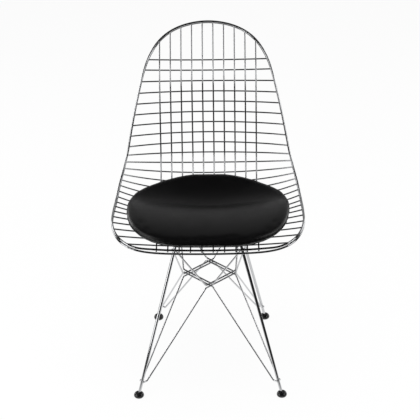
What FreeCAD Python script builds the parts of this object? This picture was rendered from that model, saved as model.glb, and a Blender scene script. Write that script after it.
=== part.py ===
import FreeCAD, Part
import math
import os

import Sketcher
from FreeCAD import Placement, Rotation, Vector

# Wire mesh side chair on a braced rod base, with a loose leather seat pad.
# Millimetres and degrees. +Z is up, the chair faces -Y, and the origin lies on the
# floor below the middle of the chair's own reach.
#
# The shell is one curved surface. A station is a distance along its middle line, from
# the top of the back down and forward to the front edge. Across means along X. Lift is
# a distance off the surface towards the sitter, and the cross wires lie at lift 0.

doc = FreeCAD.newDocument("wire_chair")

# Driving dimensions: alias, value, meaning
DIMENSIONS = [
    ("cross_wire_diameter", 3.7, "wires that run from side to side"),
    ("long_wire_diameter", 3.7, "wires that run from the top to the front"),
    ("rim_diameter", 5.0, "the two rim wires"),
    ("weld_sink", 0.3, "how far welded wires bite into each other"),
    ("cross_wire_count", 25, "cross wires in the shell"),
    ("cross_wire_pitch", 26.9, "distance between cross wires, along the shell"),
    ("cross_wire_start", 100.0, "station of the first cross wire"),
    ("long_wire_count", 10, "long wires in the shell"),
    ("long_wire_pitch", 27.5, "distance between long wires, across"),
    ("wire_overrun", 1.5, "wire end past the middle of the rim"),
    ("seat_height", 420.0, "floor to the lowest cross wire, on the middle line"),
    ("flare_run", 116.0, "straight top of the back"),
    ("flare_lean", 35.3, "its lean from upright"),
    ("flare_radius", 130.0, "bend between the top and the straight back"),
    ("back_run", 160.0, "straight part of the back"),
    ("back_lean", 13.0, "its lean from upright"),
    ("seat_bend_radius", 153.0, "bend between back and seat"),
    ("seat_rise", 16.9, "slope of the seat, rising forward"),
    ("seat_run", 11.5, "straight part of the seat"),
    ("front_roll_radius", 368.0, "downward roll of the front"),
    ("front_dip", 11.5, "slope of the front edge, falling forward"),
    ("half_width", 237.2, "middle of the rim to the middle line, at the widest"),
    ("widest_from_front", 124.0, "front edge to the widest place, along the shell"),
    ("side_taper", 0.446, "share of the width lost towards the top"),
    ("side_taper_power", 1.77, "how late the sides draw in"),
    ("crown_power", 16.8, "how tight the top corners are"),
    ("crown_roundness", 1.92, "roundness of the top edge"),
    ("front_power", 2.19, "how early the front corners begin"),
    ("front_roundness", 5.83, "squareness of the front corners"),
    ("bucket_radius", 435.0, "tightest bend of the cross wires"),
    ("bucket_station", 410.0, "where that bend lies"),
    ("bucket_reach_up", 263.0, "fading length of the bend, up the back"),
    ("bucket_reach_front", 193.0, "fading length of the bend, along the seat"),
    ("bucket_power_up", 5.3, "how fast it fades up the back"),
    ("bucket_power_front", 2.55, "how fast it fades along the seat"),
    ("rim_climb_run", 50.0, "length, across, in which the upper rim climbs on the long wires"),
    ("rim_knot_spacing", 36.0, "distance between knots of the rim's curve"),
    ("rod_diameter", 7.5, "leg rods"),
    ("rod_bend_radius", 18.0, "bend at the top of a leg, on the rod's middle"),
    ("corner_front_ahead", 140.0, "front rod corner ahead of the lowest seat point"),
    ("corner_back_behind", 69.0, "back rod corner behind the lowest seat point"),
    ("corner_front_half", 73.5, "front rod corner to the middle plane"),
    ("corner_back_half", 65.0, "back rod corner to the middle plane"),
    ("foot_front_ahead", 208.5, "front foot ahead of the lowest seat point"),
    ("foot_back_behind", 165.5, "back foot behind the lowest seat point"),
    ("foot_front_half", 183.0, "front foot to the middle plane"),
    ("foot_back_half", 147.0, "back foot to the middle plane"),
    ("brace_diameter", 4.2, "thin wires of the bracing"),
    ("diamond_height", 256.0, "middle of the crossing wires above the floor"),
    ("diamond_half", 59.0, "middle of the crossing to each of its four corners"),
    ("diamond_ahead", 20.5, "its middle ahead of the lowest seat point"),
    ("diamond_overrun", 12.5, "a wire's level run past a corner of the crossing, to its bend"),
    ("brace_bend_radius", 8.0, "bends beside the crossing"),
    ("brace_hook_run", 11.0, "level end of a lower brace, beside the leg"),
    ("brace_hook_radius", 5.0, "bend of that end"),
    ("brace_end_overrun", 0.5, "brace end past its weld on the leg"),
    ("brace_low_height", 43.0, "lower brace ends on the legs"),
    ("brace_top_front", 396.0, "upper brace ends on the front legs"),
    ("brace_top_back", 355.0, "upper brace ends on the back legs"),
    ("mount_wire_front", 22, "cross wire over the front mounts, counted from the top"),
    ("mount_wire_back", 18, "cross wire over the back mounts, counted from the top"),
    ("mount_behind", 7.0, "plate behind its cross wire"),
    ("mount_ahead", 17.0, "plate ahead of its cross wire"),
    ("mount_outboard", 9.0, "plate outside the rod's middle"),
    ("mount_inboard", 24.0, "plate inside the rod's middle"),
    ("shell_plate_thickness", 2.5, "plates welded under the shell"),
    ("base_plate_thickness", 3.0, "plates welded on the rods"),
    ("plate_corner_radius", 3.0, "plate corners"),
    ("screw_inboard", 14.5, "screw inside the rod's middle"),
    ("screw_ahead", 8.0, "screw ahead of the cross wire"),
    ("screw_diameter", 5.0, "mount screws"),
    ("screw_head_diameter", 9.0, "their heads"),
    ("screw_head_height", 3.2, "their heads"),
    ("screw_socket_width", 4.6, "hexagon socket, across its corners"),
    ("screw_socket_depth", 1.8, "hexagon socket"),
    ("screw_hole_clearance", 0.25, "round the screw in the base plate"),
    ("screw_tip", 0.8, "screw end above the shell plate"),
    ("ball_diameter", 10.0, "ball at the rod's foot"),
    ("ball_height", 7.0, "middle of the ball above the floor"),
    ("neck_diameter", 5.6, "neck between ball and rod"),
    ("neck_length", 9.6, "middle of the ball to the end of the rod"),
    ("socket_clearance", 0.25, "round the ball in its glide"),
    ("glide_diameter", 26.0, "widest place of a glide"),
    ("glide_widest_height", 5.0, "widest place above the floor"),
    ("glide_sole_diameter", 20.0, "flat sole"),
    ("glide_collar_diameter", 14.5, "top of the glide"),
    ("glide_height", 13.5, "top of the glide above the floor"),
    ("glide_slot_clearance", 0.4, "between the neck and its slot"),
    ("glide_tilt", 8.0, "tilt each way"),
    ("pad_half_width", 205.5, "seat pad, across"),
    ("pad_start", 401.0, "station of the pad's back edge"),
    ("pad_widest", 600.0, "station of its widest place"),
    ("pad_end", 770.0, "station of the pad's front edge"),
    ("pad_back_squareness", 2.1, "its outline behind the widest place, 2 being an ellipse"),
    ("pad_front_squareness", 3.0, "its outline ahead of the widest place"),
    ("pad_seat_gap", 0.4, "between the wires and the pad's base"),
    ("pad_base_thickness", 2.5, "stiff base under the pad"),
    ("pad_base_inset", 9.0, "base inside the pad's edge"),
    ("pad_base_gap", 0.3, "between the base and the cushion"),
    ("pad_edge_top", 16.0, "rounding of the cushion's edge, above its widest place"),
    ("pad_edge_bottom", 5.0, "rounding of the cushion's edge, below its widest place"),
    ("pad_crown", 5.0, "extra height of the cushion's middle"),
    ("pad_ribs", 27, "sections of the pad"),
    ("pad_end_angle", 9.0, "first section of the pad, as an angle of its oval"),
    ("clip_wall", 1.2, "pad clips"),
    ("clip_clearance", 0.35, "between a clip and its wire"),
    ("clip_length", 8.0, "pad clips, along the wire"),
    ("clip_grip", 1.2, "clip below the middle of its wire"),
    ("clip_bite", 1.4, "clip let into the pad's base"),
    ("clip_wire", 4, "long wire that carries the left clips, counted from the left"),
    ("clip_behind_back", 16, "cross wire behind the back clips, counted from the top"),
    ("clip_behind_front", 22, "cross wire behind the front clips, counted from the top"),
]

sheet = doc.addObject("Spreadsheet::Sheet", "Sizes")
for row, (alias, value, meaning) in enumerate(DIMENSIONS, start=1):
    sheet.set(f"A{row}", alias)
    sheet.set(f"B{row}", str(value))
    sheet.set(f"C{row}", meaning)
    sheet.setAlias(f"B{row}", alias)
doc.recompute()


def size(alias):
    return float(sheet.get(alias))


def count(alias):
    return int(round(size(alias)))


# Middle line of the shell
# Straight runs and arcs, each as length, first angle and last angle, where -90 points
# straight down and -180 straight forward.
FLARE_ANGLE = -90.0 - size("flare_lean")
BACK_ANGLE = -90.0 - size("back_lean")
LEVEL_ANGLE = -180.0
SEAT_ANGLE = LEVEL_ANGLE - size("seat_rise")
FRONT_ANGLE = LEVEL_ANGLE + size("front_dip")


def bend_run(radius, first, last):
    return abs(math.radians(last - first)) * radius, first, last


SHELL_RUNS = [
    (size("flare_run"), FLARE_ANGLE, FLARE_ANGLE),
    bend_run(size("flare_radius"), FLARE_ANGLE, BACK_ANGLE),
    (size("back_run"), BACK_ANGLE, BACK_ANGLE),
    bend_run(size("seat_bend_radius"), BACK_ANGLE, SEAT_ANGLE),
    (size("seat_run"), SEAT_ANGLE, SEAT_ANGLE),
    bend_run(size("front_roll_radius"), SEAT_ANGLE, FRONT_ANGLE),
]
SHELL_LENGTH = sum(run[0] for run in SHELL_RUNS)
WIDEST_STATION = SHELL_LENGTH - size("widest_from_front")
X_AXIS = Vector(1, 0, 0)
Z_AXIS = Vector(0, 0, 1)


def heading(angle):
    """Unit direction of travel in the middle plane."""
    return Vector(0, math.cos(math.radians(angle)), math.sin(math.radians(angle)))


def normal(angle):
    """Unit direction towards the sitter, square to the direction of travel."""
    return Vector(0, math.sin(math.radians(angle)), -math.cos(math.radians(angle)))


def travel(run, distance):
    """Where a distance along one run leads, and the angle there."""
    length, first, last = run
    if first == last:
        return heading(first) * distance, first
    angle = first + (last - first) * distance / length
    radius = length / math.radians(last - first)
    return (normal(angle) - normal(first)) * radius, angle


def from_top(station):
    """Place on the middle line, seen from the top of the back, and the angle there."""
    place = Vector()
    left = station
    for run in SHELL_RUNS:
        inside = left <= run[0] or run is SHELL_RUNS[-1]
        step, angle = travel(run, left if inside else run[0])
        place += step
        if inside:
            break
        left -= run[0]
    return place, angle


LOWEST_STATION = (sum(run[0] for run in SHELL_RUNS[:3])
                  + bend_run(size("seat_bend_radius"), BACK_ANGLE, LEVEL_ANGLE)[0])
LOWEST_FROM_TOP = from_top(LOWEST_STATION)[0]


def middle_point(station):
    """Place and angle of the middle line, above the floor."""
    place, angle = from_top(station)
    return place - LOWEST_FROM_TOP + Z_AXIS * size("seat_height"), angle


# The shell as a surface
def fullness(short, power, roundness):
    """Share of the full width, a share short of the widest place away from one end."""
    if short >= 1.0:
        return 1.0
    return (-math.expm1(power * math.log1p(-short))) ** (1.0 / roundness)


def top_half(short):
    """Half width where short runs from 0 at the top to 1 at the widest place."""
    side = 1.0 - size("side_taper") * (1.0 - short) ** size("side_taper_power")
    return size("half_width") * side * fullness(short, size("crown_power"), size("crown_roundness"))


def front_half(short):
    """Half width where short runs from 0 at the front to 1 at the widest place."""
    return size("half_width") * fullness(short, size("front_power"), size("front_roundness"))


def outline_half(station):
    """Half width of the shell, to the middle of its rim."""
    if station <= WIDEST_STATION:
        return top_half(max(0.0, station / WIDEST_STATION))
    return front_half(max(0.0, (SHELL_LENGTH - station) / size("widest_from_front")))


def outline_place(turn):
    """Station and half width of the rim: turn 0 is the top, 1 the widest place, 2 the front."""
    if turn <= 1.0:
        short = turn ** size("crown_roundness")
        return WIDEST_STATION * short, top_half(short)
    short = (2.0 - turn) ** size("front_roundness")
    return SHELL_LENGTH - size("widest_from_front") * short, front_half(short)


def cross_radius(station):
    """Radius to which the cross wires are bent."""
    away = station - size("bucket_station")
    if away < 0:
        fade = (-away / size("bucket_reach_up")) ** size("bucket_power_up")
    else:
        fade = (away / size("bucket_reach_front")) ** size("bucket_power_front")
    return size("bucket_radius") * (1.0 + fade)


def shell_point(across, station, lift=0.0):
    place, angle = middle_point(station)
    radius = cross_radius(station)
    turn = math.asin(across / (radius - lift))
    rise = radius - (radius - lift) * math.cos(turn)
    return place + normal(angle) * rise + X_AXIS * across


def wire_station(number):
    """Station of a cross wire, counted from 1 at the top."""
    return size("cross_wire_start") + (number - 1) * size("cross_wire_pitch")


def long_wire_across(number):
    """X of a long wire, counted from 1 at the left."""
    return (number - (count("long_wire_count") + 1) / 2.0) * size("long_wire_pitch")


# How the wires lie on each other
def weld_distance(first_alias, second_alias):
    """Distance between the middles of two welded wires."""
    return (size(first_alias) + size(second_alias)) / 2.0 - size("weld_sink")


LONG_LIFT = weld_distance("cross_wire_diameter", "long_wire_diameter")
SIDE_RIM_LIFT = weld_distance("cross_wire_diameter", "rim_diameter")
HIGH_RIM_LIFT = LONG_LIFT + weld_distance("long_wire_diameter", "rim_diameter")


def lower_rim_lift(_across):
    return -SIDE_RIM_LIFT


def upper_rim_lift(across):
    """The upper rim lies on the cross wires at the sides and on the long wires elsewhere."""
    outer_wire = long_wire_across(count("long_wire_count"))
    share = (across - outer_wire - size("rim_diameter")) / size("rim_climb_run")
    share = min(1.0, max(0.0, share))
    ease = share * share * (3.0 - 2.0 * share)
    return HIGH_RIM_LIFT + (SIDE_RIM_LIFT - HIGH_RIM_LIFT) * ease


def rim_point(lift_at, turn):
    """Point of a rim: turn 0 is the top, 2 the front and 4 the top again."""
    around = turn % 4.0
    side = 1.0
    if around > 2.0:
        around = 4.0 - around
        side = -1.0
    station, half = outline_place(around)
    point = shell_point(half, station, lift_at(half))
    return Vector(side * point.x, point.y, point.z)


RIM_CHECKS = 200


def rim_places(lift_at):
    """Closely spaced places of one half of a rim, from the top to the front."""
    return [rim_point(lift_at, 2.0 * step / RIM_CHECKS) for step in range(RIM_CHECKS + 1)]


# The chair is centred on its own reach: the rims stand furthest to the front and back.
RIM_REACH = [place.y for lift_at in (lower_rim_lift, upper_rim_lift) for place in rim_places(lift_at)]
CENTRED = Placement(Vector(0, -(min(RIM_REACH) + max(RIM_REACH)) / 2.0, 0), Rotation())


# Curves
STRAIGHT_ENOUGH = 1e-4


def arc_edge(start, middle_of_arc, end):
    if middle_of_arc is None:
        return Part.LineSegment(start, end).toShape()
    return Part.Arc(start, middle_of_arc, end).toShape()


def arc_middle(start, direction, end):
    """Middle of the arc that leaves start along direction and ends at end."""
    chord = end - start
    along = chord * (1.0 / chord.Length)
    sideways = direction - along * direction.dot(along)
    bend = math.atan2(sideways.Length, direction.dot(along))
    if bend < STRAIGHT_ENOUGH:
        return None
    sideways.normalize()
    return start + chord * 0.5 + sideways * (chord.Length / 2.0 * math.tan(bend / 2.0))


def biarc(start, start_direction, end, end_direction):
    """Two arcs that join two places and keep the direction at both."""
    gap = end - start
    both = start_direction + end_direction
    spread = 2.0 * (1.0 - start_direction.dot(end_direction))
    reach = gap.dot(both)
    if spread < STRAIGHT_ENOUGH ** 2:
        handle = gap.dot(gap) / (2.0 * reach)
    else:
        handle = (math.sqrt(reach * reach + spread * gap.dot(gap)) - reach) / spread
    joint = (start + end + (start_direction - end_direction) * handle) * 0.5
    first = arc_edge(start, arc_middle(start, start_direction, joint), joint)
    second = arc_edge(joint, arc_middle(end, end_direction * -1.0, joint), end)
    return [first, second]


def smooth_path(knots):
    """Path through knots, each a place and a direction."""
    edges = []
    for (start, start_direction), (end, end_direction) in zip(knots, knots[1:]):
        edges += biarc(start, start_direction, end, end_direction)
    return Part.Wire(edges)


def knot(point_at, where, step):
    """Place and direction of a curve that is given as a function."""
    direction = point_at(where + step) - point_at(where - step)
    return point_at(where), direction.normalize()


def bent_path(points, radii):
    """Straight runs between points, with an arc at each inner point."""
    edges = []
    start = points[0]
    for before, corner, after, radius in zip(points, points[1:], points[2:], radii):
        back = (before - corner).normalize()
        onward = (after - corner).normalize()
        half_angle = back.getAngle(onward) / 2.0
        setback = radius / math.tan(half_angle)
        inward = (back + onward).normalize()
        middle_of_arc = corner + inward * (radius / math.sin(half_angle) - radius)
        edges.append(Part.LineSegment(start, corner + back * setback).toShape())
        edges.append(Part.Arc(corner + back * setback, middle_of_arc, corner + onward * setback).toShape())
        start = corner + onward * setback
    edges.append(Part.LineSegment(start, points[-1]).toShape())
    return Part.Wire(edges)


# Helpers for the document
parts = []


def keep(feature, name):
    feature.Label = name
    parts.append(feature)
    return feature


def wire_along(path, name, diameter_alias):
    """Round wire swept along a path."""
    spine = doc.addObject("Part::Feature", name + "_path")
    spine.Shape = path
    first = path.Edges[0]
    section = doc.addObject("Part::Circle", name + "_section")
    section.setExpression("Radius", f"Sizes.{diameter_alias} / 2")
    turn_to_path = Rotation(Z_AXIS, first.tangentAt(first.FirstParameter))
    section.Placement = Placement(first.valueAt(first.FirstParameter), turn_to_path)
    wire = doc.addObject("Part::Sweep", name)
    wire.Sections = [section]
    wire.Spine = (spine, [])
    wire.Solid = True
    wire.Frenet = False
    wire.Placement = CENTRED
    return keep(wire, name)


def new_body(name, placement):
    body = doc.addObject("PartDesign::Body", name)
    body.Placement = placement
    return body


def new_sketch(body, name, role):
    sketch = body.newObject("Sketcher::SketchObject", name)
    plane = next(item for item in body.Origin.OriginFeatures if item.Role == role)
    sketch.AttachmentSupport = [(plane, "")]
    sketch.MapMode = "FlatFace"
    return sketch


ORIGIN = -1
START, END, CENTRE = 1, 2, 3


def bind(sketch, constraint, formula):
    """Adds a dimension and binds it to the sheet."""
    index = sketch.addConstraint(constraint)
    sketch.setExpression(f"Constraints[{index}]", formula)


def add_circle(sketch, alias):
    """Circle about the origin, its diameter bound to the sheet."""
    index = sketch.addGeometry(Part.Circle(Vector(), Z_AXIS, size(alias) / 2.0))
    sketch.addConstraint(Sketcher.Constraint("Coincident", index, CENTRE, ORIGIN, START))
    bind(sketch, Sketcher.Constraint("Diameter", index, size(alias)), f"Sizes.{alias}")


def add_rectangle(sketch, left, right, low, high):
    """Rectangle whose four sides are formulas of the sheet, measured from the origin."""
    corners = [Vector(-1, -1, 0), Vector(1, -1, 0), Vector(1, 1, 0), Vector(-1, 1, 0)]
    first = sketch.GeometryCount
    for start, end in zip(corners, corners[1:] + corners[:1]):
        sketch.addGeometry(Part.LineSegment(start, end))
    for step in range(4):
        follower = first + (step + 1) % 4
        sketch.addConstraint(Sketcher.Constraint("Coincident", first + step, END, follower, START))
        direction = "Horizontal" if step % 2 == 0 else "Vertical"
        sketch.addConstraint(Sketcher.Constraint(direction, first + step))
    bind(sketch, Sketcher.Constraint("DistanceX", ORIGIN, START, first, START, -1.0), left)
    bind(sketch, Sketcher.Constraint("DistanceY", ORIGIN, START, first, START, -1.0), low)
    bind(sketch, Sketcher.Constraint("DistanceX", ORIGIN, START, first + 2, START, 1.0), right)
    bind(sketch, Sketcher.Constraint("DistanceY", ORIGIN, START, first + 2, START, 1.0), high)


def add_fixed(sketch, shapes):
    """Lines and arcs that stay where they are put, as one closed outline."""
    for shape in shapes:
        index = sketch.addGeometry(shape)
        sketch.addConstraint(Sketcher.Constraint("Block", index))


def lines_through(points):
    """Closed outline of straight lines."""
    return [Part.LineSegment(start, end) for start, end in zip(points, points[1:] + points[:1])]


def add_pad(body, sketch, name, length, downward=False, both_ways=False):
    pad = body.newObject("PartDesign::Pad", name)
    pad.Profile = sketch
    pad.setExpression("Length", length)
    pad.Reversed = downward
    pad.Midplane = both_ways
    return pad


def group(name, members):
    """Several like solids under one name."""
    together = doc.addObject("Part::Compound", name)
    together.Links = members
    return keep(together, name)


# Rims
RIM_TURN_STEP = 0.002


def rim_knots(lift_at):
    """Evenly spaced knots round the rim, the first and last at the top."""
    places = rim_places(lift_at)
    reach = [0.0]
    for before, after in zip(places, places[1:]):
        reach.append(reach[-1] + (after - before).Length)
    pieces = round(reach[-1] / size("rim_knot_spacing"))
    half = []
    for piece in range(pieces + 1):
        target = reach[-1] * piece / pieces
        nearest = min(range(len(reach)), key=lambda step: abs(reach[step] - target))
        half.append(2.0 * nearest / RIM_CHECKS)
    turns = half + [4.0 - turn for turn in reversed(half[:-1])]
    return [knot(lambda turn: rim_point(lift_at, turn), turn, RIM_TURN_STEP) for turn in turns]


wire_along(smooth_path(rim_knots(upper_rim_lift)), "rim_wire_upper", "rim_diameter")
wire_along(smooth_path(rim_knots(lower_rim_lift)), "rim_wire_lower", "rim_diameter")


# Long wires
HALVINGS = 60
STATION_STEP = 0.5


def rim_station_at(across, low, high):
    """Station between two turns of the rim where it stands this far across, by halving."""
    for _ in range(HALVINGS):
        middle_turn = (low + high) / 2.0
        if outline_place(middle_turn)[1] < abs(across):
            low = middle_turn
        else:
            high = middle_turn
    return outline_place(low)[0]


def make_long_wire(number):
    across = long_wire_across(number)
    first = rim_station_at(across, 0.0, 1.0) - size("wire_overrun")
    last = rim_station_at(across, 2.0, 1.0) + size("wire_overrun")
    crossings = [wire_station(wire) for wire in range(1, count("cross_wire_count") + 1)]
    stations = [first] + [station for station in crossings if first < station < last] + [last]

    def point_at(station):
        return shell_point(across, station, LONG_LIFT)

    path = smooth_path([knot(point_at, station, STATION_STEP) for station in stations])
    return wire_along(path, f"long_wire_{number:02d}", "long_wire_diameter")


for number in range(1, count("long_wire_count") + 1):
    make_long_wire(number)


# Cross wires: a round section turned about the axis of the bucket
def make_cross_wire(number):
    name = f"cross_wire_{number:02d}"
    station = wire_station(number)
    place, angle = middle_point(station)
    radius = cross_radius(station)
    reach = outline_half(station) + size("wire_overrun")
    upright = Rotation(X_AXIS, angle - LEVEL_ANGLE)
    body = new_body(name, CENTRED.multiply(Placement(place, upright)))
    section = new_sketch(body, name + "_section", "YZ_Plane")
    add_circle(section, "cross_wire_diameter")
    axis = section.addGeometry(Part.LineSegment(Vector(0, radius, 0), Vector(1, radius, 0)), True)
    section.addConstraint(Sketcher.Constraint("Block", axis))
    bend = body.newObject("PartDesign::Revolution", name + "_bend")
    bend.Profile = section
    bend.ReferenceAxis = (section, ["Axis0"])
    bend.Angle = 2.0 * math.degrees(math.asin(reach / radius))
    bend.Midplane = True
    return keep(body, name)


for number in range(1, count("cross_wire_count") + 1):
    make_cross_wire(number)


# Side frames
# The straight top of each rod lies under two cross wires, with both mount plates between.
FRONT_STATION = wire_station(count("mount_wire_front"))
BACK_STATION = wire_station(count("mount_wire_back"))
MOUNT_STACK = (size("cross_wire_diameter") / 2.0 + size("shell_plate_thickness")
               + size("base_plate_thickness") + size("rod_diameter") / 2.0)


def bar_across(y):
    """X of the right rod's straight top, at a place along Y."""
    share = (y + size("corner_front_ahead")) / (size("corner_front_ahead") + size("corner_back_behind"))
    return size("corner_front_half") + (size("corner_back_half") - size("corner_front_half")) * share


def mount_seat(station, bar_direction):
    """Point of a cross wire over the right rod, and the direction down to the rod."""
    across = size("corner_front_half")
    for _ in range(6):
        ahead = shell_point(across + 1.0, station) - shell_point(across - 1.0, station)
        down = bar_direction.cross(ahead).normalize()
        if down.z > 0:
            down = down * -1.0
        rest = shell_point(across, station) + down * MOUNT_STACK
        across += bar_across(rest.y) - rest.x
    return shell_point(across, station), down


def bar_corners():
    """Front and back corner of the right rod, before they are bent."""
    slope = 0.0
    for _ in range(8):
        span = size("corner_front_ahead") + size("corner_back_behind")
        run = size("corner_back_half") - size("corner_front_half")
        direction = Vector(run, span, slope * span).normalize()
        seats = [mount_seat(station, direction) for station in (FRONT_STATION, BACK_STATION)]
        front_rest, back_rest = [point + down * MOUNT_STACK for point, down in seats]
        slope = (back_rest.z - front_rest.z) / (back_rest.y - front_rest.y)
    front_y = -size("corner_front_ahead")
    back_y = size("corner_back_behind")
    front = Vector(bar_across(front_y), front_y, front_rest.z + slope * (front_y - front_rest.y))
    back = Vector(bar_across(back_y), back_y, front_rest.z + slope * (back_y - front_rest.y))
    return front, back


CORNER_FRONT, CORNER_BACK = bar_corners()
BALL_FRONT = Vector(size("foot_front_half"), -size("foot_front_ahead"), size("ball_height"))
BALL_BACK = Vector(size("foot_back_half"), size("foot_back_behind"), size("ball_height"))
LEGS = {"front": (BALL_FRONT, CORNER_FRONT), "back": (BALL_BACK, CORNER_BACK)}
SIDES = {"left": -1.0, "right": 1.0}


def to_side(point, side):
    return Vector(point.x * SIDES[side], point.y, point.z)


def leg(end, side):
    """Ball middle and rod direction of one leg."""
    ball, corner = LEGS[end]
    ball = to_side(ball, side)
    return ball, (to_side(corner, side) - ball).normalize()


def rod_end(end, side):
    ball, direction = leg(end, side)
    return ball + direction * size("neck_length")


for side in SIDES:
    corners = [rod_end("front", side), to_side(CORNER_FRONT, side),
               to_side(CORNER_BACK, side), rod_end("back", side)]
    bends = [size("rod_bend_radius")] * 2
    wire_along(bent_path(corners, bends), f"side_frame_{side}", "rod_diameter")

# Bracing
# Eight thin wires cross as a square seen from above. Each runs level through two of the
# square's corners, and the four levels at a corner lie on each other. The lower wires
# then drop to the feet, and the upper ones rise to the tops of the legs.
DIAMOND = {
    "front": Vector(0, -1, 0),
    "right": Vector(1, 0, 0),
    "back": Vector(0, 1, 0),
    "left": Vector(-1, 0, 0),
}
ROUTES = [
    (("front", "left"), "front", "right", ("back", "right")),
    (("front", "right"), "right", "back", ("back", "left")),
    (("back", "right"), "back", "left", ("front", "left")),
    (("back", "left"), "left", "front", ("front", "right")),
]
BRACE_STEP = size("brace_diameter") - size("weld_sink")
BRACE_TOUCH = weld_distance("rod_diameter", "brace_diameter")


def diamond_corner(name, level):
    centre = Vector(0, -size("diamond_ahead"), size("diamond_height") + level * BRACE_STEP)
    return centre + DIAMOND[name] * size("diamond_half")


def leg_point(end, side, height):
    ball, direction = leg(end, side)
    return ball + direction * ((height - ball.z) / direction.z)


def weld_place(leg_name, height, run_direction, sideways):
    """Middle of a brace where it lies against its leg."""
    out = run_direction.cross(leg(*leg_name)[1]).normalize()
    if out.dot(sideways) < 0:
        out = out * -1.0
    return leg_point(*leg_name, height) + out * BRACE_TOUCH


def lower_end(leg_name, bend, sideways):
    """Level end of a lower brace: its tip and its bend."""
    height = size("brace_low_height")
    place = leg_point(*leg_name, height)
    inward = Vector(bend.x - place.x, bend.y - place.y, 0).normalize()
    weld = weld_place(leg_name, height, inward, sideways)
    return [weld - inward * size("brace_end_overrun"), weld + inward * size("brace_hook_run")]


def upper_end(leg_name, bend, sideways):
    """Tip of an upper brace, past its weld."""
    height = size(f"brace_top_{leg_name[0]}")
    weld = leg_point(*leg_name, height)
    for _ in range(4):
        weld = weld_place(leg_name, height, (weld - bend).normalize(), sideways)
    return [weld + (weld - bend).normalize() * size("brace_end_overrun")]


def level_bends(route, level):
    """Bends of a brace at both ends of its level run."""
    first = diamond_corner(route[1], level)
    second = diamond_corner(route[2], level)
    along = (second - first).normalize() * size("diamond_overrun")
    return first - along, second + along


def sideways_at(leg_name, bend):
    """Level direction away from the other brace that ends on the same leg."""
    ends = [end for route in ROUTES
            for end in zip((route[0], route[3]), level_bends(route, 0.0)) if end[0] == leg_name]
    middle_of_ends = (ends[0][1] + ends[1][1]) * 0.5
    return Vector(bend.x - middle_of_ends.x, bend.y - middle_of_ends.y, 0)


def make_brace(name, route, level, make_end, end_radii):
    first_bend, last_bend = level_bends(route, level)
    head = make_end(route[0], first_bend, sideways_at(route[0], first_bend))
    tail = make_end(route[3], last_bend, sideways_at(route[3], last_bend))
    points = head + [first_bend, last_bend] + tail[::-1]
    radii = end_radii + [size("brace_bend_radius")] * 2 + end_radii
    wire_along(bent_path(points, radii), name, "brace_diameter")


for index, route in enumerate(ROUTES):
    lower_level = (-1.5, -0.5)[index % 2]
    upper_level = (0.5, 1.5)[index % 2]
    make_brace(f"lower_brace_{index + 1}", route, lower_level, lower_end, [size("brace_hook_radius")])
    make_brace(f"upper_brace_{index + 1}", route, upper_level, upper_end, [])


# Mounts
# Each has a plate welded under a cross wire, a plate welded on the rod, and a screw
# that holds both together. Seen from a mount, Y leads forward along the rod, Z up to the
# shell, and the origin is where the shell plate meets its cross wire.
MOUNTS = [(station, side) for side in SIDES for station in (FRONT_STATION, BACK_STATION)]
INBOARD = {"left": -1, "right": 1}


def mount_placement(station, side, drop):
    """Placement of a mount, lowered by a distance along its own upright."""
    bar = (CORNER_BACK - CORNER_FRONT).normalize()
    point, down = mount_seat(station, bar)
    point = point + down * (size("cross_wire_diameter") / 2.0 + drop)
    forward = to_side(bar * -1.0, side)
    upward = to_side(down * -1.0, side)
    turn = Rotation(forward.cross(upward), forward, upward, "ZYX")
    return CENTRED.multiply(Placement(to_side(point, side), turn))


UPRIGHT = 0.999


def round_corners(body):
    """Rounds the four upright edges of a plate."""
    doc.recompute()
    plate = body.Tip
    upright = [f"Edge{number}" for number, edge in enumerate(plate.Shape.Edges, start=1)
               if len(edge.Vertexes) == 2 and abs(edge.tangentAt(edge.FirstParameter).z) > UPRIGHT]
    fillet = body.newObject("PartDesign::Fillet", body.Name + "_corners")
    fillet.Base = (plate, upright)
    fillet.setExpression("Radius", "Sizes.plate_corner_radius")


def make_plate(name, station, side, drop, thickness_alias, hole):
    """Mount plate with its screw hole."""
    body = new_body(name, mount_placement(station, side, drop))
    outline = new_sketch(body, name + "_outline", "XY_Plane")
    sides = ["-Sizes.mount_outboard", "Sizes.mount_inboard"]
    if side == "left":
        sides = ["-Sizes.mount_inboard", "Sizes.mount_outboard"]
    add_rectangle(outline, sides[0], sides[1], "-Sizes.mount_behind", "Sizes.mount_ahead")
    add_pad(body, outline, name + "_plate", f"Sizes.{thickness_alias}", downward=True)
    round_corners(body)
    hole_place = new_sketch(body, name + "_hole_place", "XY_Plane")
    index = hole_place.addGeometry(Part.Circle(Vector(), Z_AXIS, size("screw_diameter") / 2.0))
    bind(hole_place, Sketcher.Constraint("DistanceX", ORIGIN, START, index, CENTRE, 1.0),
         f"{INBOARD[side]} * Sizes.screw_inboard")
    bind(hole_place, Sketcher.Constraint("DistanceY", ORIGIN, START, index, CENTRE, 1.0), "Sizes.screw_ahead")
    bind(hole_place, Sketcher.Constraint("Diameter", index, size("screw_diameter")), hole)
    bore = body.newObject("PartDesign::Pocket", name + "_bore")
    bore.Profile = hole_place
    bore.Type = "ThroughAll"
    bore.Midplane = True
    return body


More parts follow.
